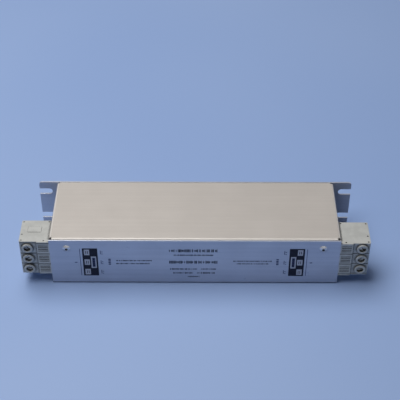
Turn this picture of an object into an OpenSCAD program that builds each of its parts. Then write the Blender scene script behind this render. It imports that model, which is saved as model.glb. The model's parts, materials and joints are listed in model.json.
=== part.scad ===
// Three-phase mains line filter in a folded sheet-steel case.
// X runs along the case, -Y is the label panel, +Y the mounting plate, Z goes up from the floor.
// The origin is under the middle of the case, on the face that the filter lies on.

/* [Case] */
// Length of the case between the outer faces of its end walls
case_l = 220; // [204:1:300]
// Depth of the case from the label panel to the mounting plate
case_d = 70; // [68:1:90]
// Height of the case from the floor to the top of the cover
case_h = 45; // [45:1:60]
// Thickness of the steel sheet
sheet_t = 1; // [0.8:0.1:1.2]
// Outside radius of the folds
bend_r = 1.8; // [1.6:0.1:2.4]
// How far the cover stands above the label panel's top edge
cover_proud = 0.6; // [0.4:0.1:1.2]
// Side of the relief notch at each corner of the cover
corner_relief = 2.2; // [2:0.1:3]
// Height of the cover's tucked flanges
tuck_h = 15; // [13:0.5:17]

/* [Mounting plate] */
// Reach of the mounting plate past each end wall
plate_reach = 15; // [13:0.5:20]
// Distance from the end wall to the round end of a slot, at its centre
slot_inset = 7.5; // [6:0.5:9]
// Distance between the two slots of one end
slot_pitch = 25; // [20:1:28]
// Width of a slot
slot_w = 5.4; // [4.5:0.1:6.5]
// Corner radius of the plate
plate_corner_r = 2.5; // [1:0.5:4]

/* [Cover rivets] */
// Diameter of the rivet's domed head
rivet_head_d = 6.3; // [5.5:0.1:8]
// Height of the domed head
rivet_head_h = 1.3; // [1:0.1:1.6]
// Diameter of the rivet's shank
rivet_shank_d = 4; // [3.2:0.1:4.8]
// Distance from the end of the case to the rivet
rivet_inset = 13; // [10:0.5:20]
// Distance from the top of the cover down to the rivet
rivet_drop = 8.6; // [7:0.2:10]

/* [Terminal poles] */
// Pitch of the poles, which is also the thickness of one pole
pole_pitch = 10.5; // [10.3:0.1:11.2]
// Reach of a pole past the end wall
pole_reach = 22.6; // [22.2:0.1:26]
// Depth of a pole from its front to its back
pole_depth = 24.7; // [24.2:0.1:27]
// Distance from the top of the cover down to the topmost pole
pole_drop = 3.5; // [3:0.1:5]
// Thickness of the moulded outer walls
pole_wall = 1.3; // [1.1:0.1:1.5]
// Length of the raised, ribbed front panel of a pole
rib_panel_l = 9.3; // [8.5:0.1:9.8]
// Height of the ribbed panel above the clamp zone
rib_panel_rise = 0.9; // [0.6:0.1:1.2]
// Number of fine grooves in the ribbed panel
rib_grooves = 4; // [3:1:5]
// Outside diameter of the screw collar
collar_d = 8.5; // [8.2:0.1:9.4]
// Thickness of the closing plate at the open side of a block
end_plate_t = 1; // [0.8:0.1:1.5]

/* [Clamps] */
// Diameter of the clamp screw's thread
screw_d = 4; // [3.5:0.1:4]
// Pitch of the clamp screw's thread
screw_pitch = 0.7; // [0.6:0.05:0.7]
// Diameter of the clamp screw's head
head_d = 5.5; // [5.2:0.1:5.6]
// Turns from fully open to fully closed
clamp_turns = 8; // [5:1:8]
// Depth of the driver slot
driver_slot_depth = 1.1; // [0.8:0.1:1.3]
// Thickness of the current bar
bar_t = 1.2; // [1:0.1:1.4]
// Width of the current bar
bar_w = 5; // [4:0.1:5.2]

/* [Earth studs] */
// Diameter of the earth stud's thread
stud_d = 5; // [4:0.5:6]
// Length of the stud outside the end wall
stud_l = 14; // [11:0.5:18]
// Distance from the mounting face to the stud's axis
stud_setback = 29.5; // [28:0.5:32]

/* [Circuit board] */
// Thickness of the board
board_t = 1.6; // [1.2:0.1:2]
// Height of the standoffs above the floor
standoff_h = 6; // [5:0.5:8]
// Distance from the end of the case to the board's edge
board_inset = 13; // [12:0.5:14]
// Distance from the long walls to the board's edges
board_margin = 4; // [4:0.5:6]

/* [Choke] */
// Outside diameter of the magnetic core
core_od = 42; // [36:1:42]
// Inside diameter of the magnetic core
core_hole_d = 26; // [25:0.5:28]
// Height of the magnetic core
core_h = 18; // [12:1:19]
// Wall of the plastic box around the core
core_box_wall = 1.5; // [1:0.1:1.6]
// Diameter of the winding wire
wire_d = 1.8; // [1.2:0.1:1.8]
// Turns of each winding
winding_turns = 9; // [4:1:9]

/* [Capacitors and resistors] */
// Width of an across-the-line capacitor
x_cap_w = 10; // [8:0.5:11]
// Length of an across-the-line capacitor
x_cap_l = 26; // [20:1:27]
// Height of an across-the-line capacitor
x_cap_h = 19; // [12:1:26]
// Diameter of a discharge resistor
resistor_d = 4.2; // [3:0.1:4.4]

/* [Hidden] */
$fn = 64;
eps = 0.01;

// Case planes
end_x = case_l / 2;
front_y = -case_d / 2;
rear_y = case_d / 2;
panel_top = case_h - cover_proud;
floor_z = sheet_t;
fold_clear = 0.4;
inner_bend_r = bend_r - sheet_t + fold_clear;
ceiling_z = case_h - sheet_t;
rivet_z = case_h - rivet_drop;

// Pole planes, in a pole's own frame: x outwards from the end wall, y as in the case, z from its middle
pole_t = pole_pitch;
seam_w = 0.7;
seam_depth = 0.8;
pole_face_y = front_y + rib_panel_rise;
pole_back_y = front_y + pole_depth;
collar_y = pole_face_y - 1.6;
screw_inset = 6;
screw_x = pole_reach - screw_inset;
block_mid_z = case_h - pole_drop - 1.5 * pole_pitch;
neck_l = 7;
neck_t = pole_t - 1.8;
neck_front_y = front_y + sheet_t + 1.7;
neck_back_y = pole_back_y - 2.6;
window_gap = 0.1;
barb = 0.5;
barb_flat = 0.6;
barb_l = 3;
groove_pitch = 1.7;
groove_w = 0.8;
groove_depth = 0.45;
groove_margin = 0.9;
mark_x = 7;
mark_l = 10;
mark_w = 6;
mark_rise = 0.2;

// Clamp planes, from the collar inwards
running_gap = 0.05;
travel = clamp_turns * screw_pitch;
max_travel = 5.6;
lip_h = 0.8;
head_h = 2;
head_y = front_y + 1.3;
seat_y = head_y + head_h;
chamber_front_y = seat_y + 1;
cage_wall = 2;
cage_open_y = chamber_front_y + 0.2 + max_travel;
bar_y = cage_open_y + cage_wall + 0.3;
screw_tip_y = bar_y - 0.1;
cage_back_t = 1.3;
cage_back_y = bar_y + bar_t + max_travel + 0.3;
cage_end_y = cage_back_y + cage_back_t;
chamber_back_y = cage_end_y + 0.3;
cage_w = 7.4;
cage_l = 6.2;
cage_side = 0.9;
grip_pitch = 1.8;
grip_w = 0.6;
grip_depth = 0.3;
chamber_w = cage_w + 0.3;
chamber_l = cage_l + 0.4;
wire_y = (bar_y + bar_t + cage_back_y) / 2;
wire_w = 5.3;
wire_h = cage_back_y - bar_y - bar_t - 0.1;

// Pegs that register one pole on the next
peg_d = 1.2;
peg_h = 0.7;
pegs = [
  [pole_reach - 1.5, pole_back_y - 1.6],
  [pole_reach - 1.5, bar_y - 3.4],
  [pole_reach - 1.6, pole_face_y + 1.6],
  [4, front_y + 1.9],
  [1.8, pole_back_y - 1.4]
];

// Stud planes
stud_y = rear_y - stud_setback;
stud_z = case_h / 2;
stud_head_t = 1;
stud_head_rim = 1.5;
stud_edge = 0.5;
washer_t = 1.1;
washer_rim = 2.3;
washer_clear = 0.2;
tooth_w = 0.7;
tooth_l = 1;
nut_h = 4;
nut_edge = 0.4;
nut_af = stud_d * 1.6;

// Board planes
board_z = floor_z + standoff_h;
board_top = board_z + board_t;
board_x = end_x - board_inset;
board_y = case_d / 2 - board_margin;
standoff_inset_x = 8.5;
standoff_inset_y = 3.5;
standoff_x = board_x - standoff_inset_x;
standoff_y = board_y - standoff_inset_y;
board_corner_r = 1.5;
liner_t = 0.4;
liner_inset = 10;
liner_x = end_x - liner_inset;
liner_clear = 0.1;
liner_drop = 3.5;
liner_hole_clear = 0.3;
pin_w = 2.4;
pin_stub = 1.4;
pin_l = board_t + pin_stub;
lead_d = 0.8;
hole_clear = 0.1;
standoff_r = 3;
standoff_base_r = 2.05;
board_hole_r = 1.6;
board_screw_r = 1.48;
board_screw_head_r = 2.7;
board_screw_head_h = 2;
board_screw_rim = 0.6;
board_screw_slot_w = 0.8;
board_screw_slot_h = 1;

// Places where the current bars turn down to the board, from the end of the case
leg_inset = 18;
leg_step = 7;

// Choke planes
wire_r = wire_d / 2;
wire_clear = 0.06;
wire_hole_clear = 0.15;
wire_gap = wire_r + wire_clear;
box_or = core_od / 2 + core_box_wall + 0.1;
box_ir = core_hole_d / 2 - core_box_wall - 0.1;
box_round = 1.2;
base_t = 1.6;
box_z = board_top + base_t + 2 * wire_gap;
box_h = core_h + 2 * core_box_wall + 0.2;
divider_t = 1.6;
turn_gap = 0.18;
turn_step = (wire_d + turn_gap) / (box_ir - wire_gap) * 180 / PI;
ring_sides = 6;

// Capacitor planes
cap_gap = 7;
first_cap_x = box_or + wire_d + cap_gap;
cap_step = x_cap_w + 2;
y_cap_x = first_cap_x + 3 * cap_step + 1;
y_cap_w = 6;
y_cap_l = 18;
y_cap_h = 12;
y_cap_y = 8;
cap_lead_inset = 2;
resistor_l = 11;
resistor_span = 17;
resistor_pitch = 4.8;
resistor_y = (x_cap_l / 2 + board_y) / 2 - resistor_pitch;

function pole_z(i) = block_mid_z + (i - 2) * pole_pitch;
function leg_x(i) = end_x - leg_inset - leg_step * (i - 1);

// ---------- helpers ----------

// A rectangle from one corner to the other, with all four corners rounded
module round_rect(x0, y0, x1, y1, r) {
  translate([x0 + r, y0]) square([x1 - x0 - 2 * r, y1 - y0]);
  translate([x0, y0 + r]) square([x1 - x0, y1 - y0 - 2 * r]);
  for (x = [x0 + r, x1 - r], y = [y0 + r, y1 - r]) {
    translate([x, y]) circle(r);
  }
}

// Half a folded channel's section: a base along x from 0 to half_w, then a leg up to leg_h
module folded_half(half_w, leg_h, t, r) {
  square([half_w - r, t]);
  translate([half_w - t, r]) square([t, leg_h - r]);
  translate([half_w - r, r]) {
    intersection() {
      difference() {
        circle(r);
        circle(r - t);
      }
      translate([0, -r]) square([r, r]);
    }
  }
}

module folded_channel(half_w, leg_h, t = sheet_t, r = bend_r) {
  folded_half(half_w, leg_h, t, r);
  mirror([1, 0]) folded_half(half_w, leg_h, t, r);
}

// Turns a section drawn in x and y so that it stands in y and z and runs along x
module along_x(length) {
  rotate([90, 0, 90]) linear_extrude(height = length, center = true) children();
}

// Turns a section drawn in x and y so that it stands in x and z and runs along y
module along_y(length) {
  rotate([90, 0, 0]) linear_extrude(height = length, center = true) children();
}

// A cylinder whose base is at y0 and which runs towards +y
module y_cylinder(y0, y1, r, r_end = -1) {
  translate([0, y0, 0]) {
    rotate([-90, 0, 0]) cylinder(h = y1 - y0, r1 = r, r2 = r_end < 0 ? r : r_end);
  }
}

// A cylinder whose base is at x0 and which runs towards +x
module x_cylinder(x0, x1, r, r_end = -1) {
  translate([x0, 0, 0]) {
    rotate([0, 90, 0]) cylinder(h = x1 - x0, r1 = r, r2 = r_end < 0 ? r : r_end);
  }
}

// Puts a right-hand shape at either end of the case
module at_end(side) {
  mirror([side < 0 ? 1 : 0, 0, 0]) translate([end_x, 0, 0]) children();
}

// Puts a pole's shape at its place. The left block is the same part turned over.
module at_pole(side, i) {
  at_end(side) translate([0, 0, pole_z(i)]) mirror([0, 0, side < 0 ? 1 : 0]) children();
}

// ---------- case ----------

// One end of the mounting plate, drawn in x (outwards from the end wall) and z
module plate_end_2d() {
  difference() {
    union() {
      square([plate_reach - plate_corner_r, panel_top]);
      round_rect(0, 0, plate_reach, panel_top, plate_corner_r);
    }
    for (s = [-1, 1]) {
      translate([slot_inset, case_h / 2 + s * slot_pitch / 2]) {
        circle(d = slot_w);
        translate([0, -slot_w / 2]) square([plate_reach, slot_w]);
      }
    }
    square([1.5, bend_r + 1]);
  }
}

// Folded sheet: label panel, floor and mounting plate
module chassis() {
  color([0.70, 0.71, 0.72]) difference() {
    union() {
      along_x(case_l) folded_channel(case_d / 2, panel_top);
      for (side = [-1, 1]) {
        at_end(side) translate([-eps, rear_y, 0]) {
          rotate([90, 0, 0]) linear_extrude(height = sheet_t) plate_end_2d();
        }
      }
    }
    for (side = [-1, 1]) {
      translate([side * (end_x - rivet_inset), 0, rivet_z]) {
        y_cylinder(front_y - 1, front_y + sheet_t + 1, rivet_shank_d / 2 + running_gap);
      }
      for (y = [-1, 1]) {
        translate([side * standoff_x, y * standoff_y, -1]) {
          cylinder(h = sheet_t + 2, r = standoff_base_r + running_gap);
        }
      }
    }
  }
}

// Folded sheet: top, end walls and the two flanges that tuck inside the chassis
module cover() {
  tuck_y = case_d / 2 - sheet_t;
  color([0.76, 0.75, 0.73]) difference() {
    union() {
      translate([0, 0, case_h]) mirror([0, 0, 1]) {
        along_x(case_l - 2 * corner_relief) folded_channel(tuck_y, tuck_h + bend_r);
        along_y(2 * (tuck_y - corner_relief)) folded_channel(case_l / 2, case_h - floor_z);
      }
      for (side = [-1, 1]) {
        at_end(side) translate([-sheet_t / 2, 0, 0]) along_x(sheet_t) {
          round_rect(-tuck_y, floor_z, tuck_y, case_h - bend_r - corner_relief, inner_bend_r);
        }
      }
    }
    for (side = [-1, 1]) {
      translate([side * (end_x - rivet_inset), 0, rivet_z]) {
        y_cylinder(front_y, front_y + 2 * sheet_t + 1, rivet_shank_d / 2 + running_gap);
      }
      at_end(side) translate([0, stud_y, stud_z]) {
        x_cylinder(-sheet_t - 1, 1, stud_d / 2 + running_gap);
      }
      for (i = [1, 2, 3]) {
        at_pole(side, i) {
          translate([-sheet_t - 1, neck_front_y - window_gap, -neck_t / 2 - window_gap]) {
            cube([
              sheet_t + 2,
              neck_back_y - neck_front_y + 2 * window_gap,
              neck_t + 2 * window_gap
            ]);
          }
        }
      }
    }
  }
}

// A blind rivet: domed head, hollow where the mandrel was, shank and swollen tail
module blind_rivet() {
  dome_r = (pow(rivet_head_d / 2, 2) + pow(rivet_head_h, 2)) / (2 * rivet_head_h);
  grip_y = front_y + 2 * sheet_t;
  tail_r = rivet_shank_d / 2 + 0.8;
  tail_l = 1.6;
  tail_taper = 1.2;
  mandrel_r = 1.1;
  difference() {
    union() {
      intersection() {
        translate([0, front_y + dome_r - rivet_head_h, 0]) sphere(dome_r);
        y_cylinder(front_y - rivet_head_h - 1, front_y, rivet_head_d / 2 + 1);
      }
      y_cylinder(front_y - eps, grip_y + eps, rivet_shank_d / 2);
      y_cylinder(grip_y, grip_y + tail_l, tail_r);
      y_cylinder(grip_y + tail_l - eps, grip_y + tail_l + tail_taper, tail_r, rivet_shank_d / 2 - 0.4);
    }
    y_cylinder(front_y - rivet_head_h - 1, front_y + 0.4, mandrel_r);
  }
}

module cover_rivets() {
  color([0.80, 0.81, 0.82]) {
    for (side = [-1, 1]) {
      translate([side * (end_x - rivet_inset), 0, rivet_z]) blind_rivet();
    }
  }
}

// ---------- terminal poles ----------

// Outline of a pole outside the case, with its two outer faces set back by inset
module pole_outline(inset = 0) {
  round_rect(0, pole_face_y + inset, pole_reach - inset, pole_back_y, 1);
  translate([0, pole_face_y + inset]) square([3, pole_back_y - pole_face_y - inset]);
  translate([0, front_y + inset]) square([rib_panel_l, rib_panel_rise + 1]);
}

// Neck that goes through the end wall, with a snap barb on each side
module pole_neck_2d() {
  translate([-neck_l, neck_front_y]) square([neck_l + eps, neck_back_y - neck_front_y]);
  catch_x = -sheet_t - 0.05;
  polygon([
    [catch_x, neck_front_y + eps],
    [catch_x, neck_front_y - barb],
    [catch_x - barb_flat, neck_front_y - barb],
    [catch_x - barb_l, neck_front_y + eps]
  ]);
  polygon([
    [catch_x, neck_back_y - eps],
    [catch_x, neck_back_y + barb],
    [catch_x - barb_flat, neck_back_y + barb],
    [catch_x - barb_l, neck_back_y - eps]
  ]);
}

// Tapered mouth that leads the wire into the cage's window
module wire_funnel() {
  outer_w = wire_w / 2 + 0.8;
  outer_h = wire_h / 2 + 0.7;
  mouth_x = pole_reach + eps;
  deep_x = pole_reach - 1.5;
  back_x = screw_x + chamber_l / 2 - eps;
  intersection() {
    translate([0, wire_y, 0]) linear_extrude(height = 2 * outer_w, center = true) {
      polygon([
        [mouth_x, -outer_h],
        [mouth_x, outer_h],
        [deep_x, wire_h / 2],
        [back_x, wire_h / 2],
        [back_x, -wire_h / 2],
        [deep_x, -wire_h / 2]
      ]);
    }
    translate([0, wire_y, 0]) along_y(2 * outer_h) polygon([
      [mouth_x, -outer_w],
      [mouth_x, outer_w],
      [deep_x, wire_w / 2],
      [back_x, wire_w / 2],
      [back_x, -wire_w / 2],
      [deep_x, -wire_w / 2]
    ]);
  }
}

// Hollows of a pole, all moulded from its open side at -z
module pole_hollows() {
  open_z = -pole_t / 2 - 1;
  bar_gap = 0.1;
  front_pocket_inset = 5;
  back_pocket_inset = 2.5;
  front_pocket_x = pole_wall + front_pocket_inset;
  back_pocket_x = pole_wall + back_pocket_inset;
  // cage chamber
  translate([screw_x - chamber_l / 2, chamber_front_y, open_z]) {
    cube([chamber_l, chamber_back_y - chamber_front_y, chamber_w / 2 - open_z]);
  }
  // channel that the current bar lies in, through to the end of the neck
  translate([-neck_l - 1, bar_y - bar_gap, open_z]) {
    cube([neck_l + 1 + screw_x, bar_t + 2 * bar_gap, bar_w / 2 - open_z]);
  }
  // lightening pockets on both sides of the channel
  pocket_x1 = screw_x - chamber_l / 2 - pole_wall;
  pocket_z = pole_t / 2 - pole_wall;
  translate([front_pocket_x, front_y + pole_wall, open_z]) {
    cube([
      rib_panel_l - pole_wall + 2 - front_pocket_x,
      bar_y - bar_gap - front_y - 2 * pole_wall,
      pocket_z - open_z
    ]);
  }
  translate([back_pocket_x, bar_y + bar_t + bar_gap + pole_wall, open_z]) {
    cube([
      pocket_x1 - back_pocket_x,
      pole_back_y - bar_y - bar_t - bar_gap - 2 * pole_wall,
      pocket_z - open_z
    ]);
  }
  // stepped bore for the captive screw
  translate([screw_x, 0, 0]) {
    y_cylinder(collar_y - 1, collar_y + lip_h, head_d / 2 - 0.15);
    y_cylinder(collar_y + lip_h - eps, seat_y, head_d / 2 + 0.3);
    y_cylinder(seat_y - 1, chamber_front_y + 1, screw_d / 2 + running_gap);
  }
  wire_funnel();
  // sockets for the next pole's pegs
  for (p = pegs) {
    translate([p[0], p[1], pole_t / 2 - peg_h - 0.2]) cylinder(h = peg_h + 1, d = peg_d + 0.1);
  }
  // fine grooves of the ribbed panel
  for (k = [0 : rib_grooves - 1]) {
    translate([groove_margin, front_y - 1, (k - (rib_grooves - 1) / 2) * groove_pitch - groove_w / 2]) {
      cube([rib_panel_l - 2 * groove_margin, 1 + groove_depth, groove_w]);
    }
  }
}

// One moulded pole with its collar, neck, barbs and pegs
module terminal_pole() {
  color([0.72, 0.74, 0.70]) {
    difference() {
      union() {
        translate([0, 0, -pole_t / 2]) linear_extrude(height = seam_w + eps) pole_outline(seam_depth);
        translate([0, 0, -pole_t / 2 + seam_w]) linear_extrude(height = pole_t - seam_w) pole_outline();
        linear_extrude(height = neck_t, center = true) pole_neck_2d();
        translate([screw_x, 0, 0]) {
          y_cylinder(collar_y + 0.4, pole_face_y + 2, collar_d / 2);
          y_cylinder(collar_y, collar_y + 0.4 + eps, collar_d / 2 - 0.4, collar_d / 2);
        }
      }
      pole_hollows();
    }
    for (p = pegs) {
      translate([p[0], p[1], -pole_t / 2 - peg_h]) cylinder(h = peg_h + 1, d = peg_d);
    }
  }
}

// Flat plate that closes the open side of a block, with a raised marking field
module end_plate(side) {
  color([0.74, 0.76, 0.71]) at_pole(side, side < 0 ? 3 : 1) {
    translate([0, 0, -pole_t / 2 - end_plate_t]) {
      difference() {
        union() {
          linear_extrude(height = end_plate_t) pole_outline();
          translate([mark_x, wire_y - mark_w + 1, -mark_rise]) cube([mark_l, mark_w, mark_rise + 0.1]);
        }
        for (p = pegs) {
          translate([p[0], p[1], -1]) cylinder(h = end_plate_t + 2, d = peg_d + 0.1);
        }
      }
    }
  }
}

// ---------- clamps ----------

// Captive slotted screw. Its tip stands just clear of the current bar.
module clamp_screw(side, i) {
  turned = [15, -35, 50][i - 1];
  edge = 0.3;
  tip_edge = 0.6;
  driver_w = 1;
  color([0.66, 0.66, 0.64]) at_pole(side, i) translate([screw_x, 0, 0]) {
    difference() {
      union() {
        y_cylinder(head_y + edge, seat_y - running_gap, head_d / 2);
        y_cylinder(head_y, head_y + edge + eps, head_d / 2 - edge, head_d / 2);
        y_cylinder(seat_y - 2 * running_gap, screw_tip_y - tip_edge, screw_d / 2);
        y_cylinder(screw_tip_y - tip_edge - eps, screw_tip_y, screw_d / 2, screw_d / 2 - tip_edge);
      }
      rotate([0, turned, 0]) {
        translate([-head_d / 2 - 1, head_y - 1, -driver_w / 2]) {
          cube([head_d + 2, 1 + driver_slot_depth, driver_w]);
        }
      }
    }
  }
}

// Folded cage with a threaded front wall. It is drawn fully open.
module clamp_cage(side, i) {
  color([0.78, 0.76, 0.66]) at_pole(side, i) translate([screw_x, 0, 0]) {
    difference() {
      translate([0, (cage_open_y + cage_end_y) / 2, 0]) {
        rotate([0, 90, 0]) linear_extrude(height = cage_l, center = true) {
          h = (cage_end_y - cage_open_y) / 2;
          round_rect(-cage_w / 2, -h, cage_w / 2, h, 0.8);
        }
      }
      translate([-cage_l / 2 - 1, cage_open_y + cage_wall, -cage_w / 2 + cage_side]) {
        cube([cage_l + 2, cage_back_y - cage_open_y - cage_wall, cage_w - 2 * cage_side]);
      }
      y_cylinder(cage_open_y - 1, cage_open_y + cage_wall + 1, screw_d / 2 + running_gap);
      // grip grooves across the wire
      for (k = [-1, 0, 1]) {
        translate([k * grip_pitch - grip_w / 2, cage_back_y - 1, -cage_w / 2 + cage_side]) {
          cube([grip_w, 1 + grip_depth, cage_w - 2 * cage_side]);
        }
      }
    }
  }
}

// Flat stamped bar from inside the cage to a pin in the board
module current_bar(side, i) {
  inner = leg_x(i);
  z = pole_z(i);
  leg_w = 4;
  corner_r = 0.8;
  color([0.80, 0.62, 0.40]) mirror([side < 0 ? 1 : 0, 0, 0]) translate([0, bar_y + bar_t / 2, 0]) {
    along_y(bar_t) {
      x1 = end_x + screw_x + cage_l / 2 - 0.2;
      round_rect(inner - leg_w / 2, z - bar_w / 2, x1, z + bar_w / 2, corner_r);
      translate([inner - leg_w / 2, board_top]) square([leg_w, z - board_top]);
      translate([inner - pin_w / 2, board_top - pin_l]) square([pin_w, pin_l + 1]);
    }
  }
}

// ---------- earth studs ----------

module stud_pairs() {
  for (side = [-1, 1]) at_end(side) translate([0, stud_y, stud_z]) children();
}

module earth_studs() {
  color([0.70, 0.70, 0.68]) stud_pairs() {
    x_cylinder(-sheet_t - stud_head_t, -sheet_t, stud_d / 2 + stud_head_rim);
    x_cylinder(-sheet_t - eps, stud_l - stud_edge, stud_d / 2);
    x_cylinder(stud_l - stud_edge - eps, stud_l, stud_d / 2, stud_d / 2 - stud_edge);
  }
}

// Toothed lock washer
module earth_washers() {
  teeth = 12;
  color([0.62, 0.62, 0.60]) stud_pairs() {
    difference() {
      x_cylinder(0, washer_t, stud_d / 2 + washer_rim);
      x_cylinder(-1, washer_t + 1, stud_d / 2 + washer_clear);
      for (k = [0 : teeth - 1]) {
        rotate([k * 360 / teeth, 0, 0]) {
          translate([-1, stud_d / 2 + washer_rim - tooth_l, -tooth_w / 2]) {
            cube([washer_t + 2, 2 * tooth_l, tooth_w]);
          }
        }
      }
    }
  }
}

// Hexagon nut with both faces chamfered
module earth_nuts() {
  corner_r = nut_af / sqrt(3);
  color([0.68, 0.68, 0.66]) stud_pairs() translate([washer_t, 0, 0]) {
    difference() {
      intersection() {
        rotate([0, 90, 0]) cylinder(h = nut_h, r = corner_r, $fn = 6);
        union() {
          x_cylinder(0, nut_edge + eps, corner_r - 0.5, corner_r + 0.1);
          x_cylinder(nut_edge, nut_h - nut_edge, corner_r + 0.1);
          x_cylinder(nut_h - nut_edge - eps, nut_h, corner_r + 0.1, corner_r - 0.5);
        }
      }
      x_cylinder(-1, nut_h + 1, stud_d / 2 + 0.02);
    }
  }
}

// ---------- board and its fixings ----------

module at_standoffs() {
  for (x = [-1, 1], y = [-1, 1]) translate([x * standoff_x, y * standoff_y, 0]) children();
}

// Thin insulating sheet folded up along both long walls
module insulating_liner() {
  color([0.86, 0.86, 0.80]) difference() {
    translate([0, 0, floor_z]) along_x(2 * liner_x) {
      half_w = case_d / 2 - sheet_t - liner_clear;
      folded_channel(half_w, case_h - tuck_h - liner_drop, liner_t, inner_bend_r);
    }
    at_standoffs() cylinder(h = case_h, r = standoff_r + liner_hole_clear, center = true);
  }
}

// Round press-in pillars with a threaded hole, flush with the underside of the floor
module board_standoffs() {
  color([0.70, 0.70, 0.68]) at_standoffs() difference() {
    union() {
      cylinder(h = sheet_t + eps, r = standoff_base_r);
      translate([0, 0, floor_z]) cylinder(h = standoff_h, r = standoff_r);
    }
    translate([0, 0, board_z - standoff_h + 1]) cylinder(h = standoff_h, r = board_screw_r + 0.02);
  }
}

module board_screws() {
  color([0.75, 0.75, 0.73]) at_standoffs() difference() {
    union() {
      translate([0, 0, board_top]) cylinder(h = board_screw_head_h - board_screw_rim, r = board_screw_head_r);
      translate([0, 0, board_top + board_screw_head_h - board_screw_rim - eps]) {
        cylinder(h = board_screw_rim, r1 = board_screw_head_r, r2 = board_screw_head_r - 0.8);
      }
      translate([0, 0, board_z - standoff_h + 2]) {
        cylinder(h = board_t + standoff_h - 2 + eps, r = board_screw_r);
      }
    }
    translate([0, 0, board_top + board_screw_head_h]) {
      cube([2 * board_screw_head_r + 1, board_screw_slot_w, 2 * board_screw_slot_h], center = true);
    }
  }
}

module circuit_board() {
  color([0.20, 0.42, 0.25]) difference() {
    translate([0, 0, board_z]) linear_extrude(height = board_t) {
      round_rect(-board_x, -board_y, board_x, board_y, board_corner_r);
    }
    at_standoffs() cylinder(h = case_h, r = board_hole_r);
    for (side = [-1, 1]) {
      for (i = [1, 2, 3]) {
        translate([side * leg_x(i), bar_y + bar_t / 2, board_z]) {
          cube([pin_w + 2 * hole_clear, bar_t + 2 * hole_clear, 4 * board_t], center = true);
        }
      }
      at_x_capacitors(side) capacitor_leads(x_cap_l, lead_d / 2 + hole_clear);
      at_y_capacitor(side) capacitor_leads(y_cap_l, lead_d / 2 + hole_clear);
    }
    at_resistors() resistor_leads(lead_d / 2 + hole_clear);
    for (k = [0, 1, 2]) rotate(winding_angle(k)) {
      for (a = [0, lead_angle]) {
        rotate(a) translate([box_or + wire_gap, 0, 0]) cylinder(h = case_h, r = wire_r + wire_hole_clear);
      }
    }
  }
}

// ---------- choke ----------

// Star-shaped divider in the core's hole, standing on a round base under the windings
module choke_base() {
  fin_h = base_t + 2 * wire_gap + box_h + wire_d;
  fin_r = box_ir - 0.1;
  hub_r = 3;
  color([0.15, 0.15, 0.16]) translate([0, 0, board_top]) {
    cylinder(h = base_t, r = box_or - 1);
    cylinder(h = fin_h, r = hub_r);
    for (k = [0, 1, 2]) rotate(60 + 120 * k) {
      translate([0, -divider_t / 2, 0]) cube([fin_r, divider_t, fin_h]);
    }
  }
}

// Rounded ring section shared by the cup and the lid
module ring_section() {
  round_rect(box_ir, 0, box_or, box_h, box_round);
}

module ring_space() {
  translate([box_ir + core_box_wall, core_box_wall]) {
    square([box_or - box_ir - 2 * core_box_wall, box_h - 2 * core_box_wall]);
  }
}

module core_cup() {
  color([0.25, 0.25, 0.27]) translate([0, 0, box_z]) rotate_extrude($fn = 96) difference() {
    ring_section();
    ring_space();
    translate([0, box_h - core_box_wall]) square([box_or + 1, core_box_wall + 1]);
  }
}

module core_lid() {
  color([0.28, 0.28, 0.30]) translate([0, 0, box_z]) rotate_extrude($fn = 96) intersection() {
    ring_section();
    translate([0, box_h - core_box_wall]) square([box_or + 1, core_box_wall + 1]);
  }
}

module choke_core() {
  color([0.35, 0.35, 0.38]) translate([0, 0, box_z + core_box_wall]) rotate_extrude($fn = 96) {
    translate([core_hole_d / 2, 0]) square([(core_od - core_hole_d) / 2, core_h]);
  }
}

// Windings: the wire climbs the outside, crosses the top, drops through the hole and returns below
lead_share = 0.25;
corner_steps = 3;
turn_points = 4 * (corner_steps + 1);
bend = box_round + wire_gap;

// Corner centres and start angles of one turn's path, in radius and height
function turn_corner(c) =
  c == 0 ? [box_or - box_round, box_z + box_h - box_round, 0]
  : c == 1 ? [box_ir + box_round, box_z + box_h - box_round, 90]
  : c == 2 ? [box_ir + box_round, box_z + box_round, 180]
  : [box_or - box_round, box_z + box_round, 270];

function turn_point(n) =
  let (
    c = floor((n % turn_points) / (corner_steps + 1)),
    s = (n % turn_points) % (corner_steps + 1),
    q = turn_corner(c),
    a = q[2] + 90 * s / corner_steps
  )
  [q[0] + bend * cos(a), q[1] + bend * sin(a), turn_step * n / turn_points];

function on_ring(p) = [p[0] * cos(p[2]), p[0] * sin(p[2]), p[1]];

lead_z = board_z - pin_stub;
last_point = winding_turns * turn_points - corner_steps - 2;
lead_angle = turn_step * (winding_turns - lead_share);
winding_path = concat(
  [[box_or + wire_gap, lead_z, 0]],
  [for (n = [0 : last_point]) turn_point(n)],
  [
    for (s = [0 : corner_steps])
      let (a = 90 - 90 * s / corner_steps)
      [
        box_or + wire_gap - bend + bend * cos(a),
        box_z - wire_gap - bend + bend * sin(a),
        lead_angle
      ]
  ],
  [[box_or + wire_gap, lead_z, lead_angle]]
);

function unit(v) = v / norm(v);

// Sideways direction of the wire at a point: along the tangent of the core's ring
function ring_tangent(p) = [-sin(p[2]), cos(p[2]), 0];

function wire_ring(k, path) =
  let (
    here = on_ring(path[k]),
    before = on_ring(path[max(k - 1, 0)]),
    after = on_ring(path[min(k + 1, len(path) - 1)]),
    ahead = unit(
      (k > 0 ? unit(here - before) : [0, 0, 0]) + (k < len(path) - 1 ? unit(after - here) : [0, 0, 0])
    ),
    t = ring_tangent(path[k]),
    side = unit(t - ahead * (t * ahead)),
    up = cross(ahead, side)
  )
  [for (s = [0 : ring_sides - 1]) here + wire_r * (cos(s * 60 + 30) * side + sin(s * 60 + 30) * up)];

function winding_angle(k) = 120 * k - lead_angle / 2;

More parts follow.
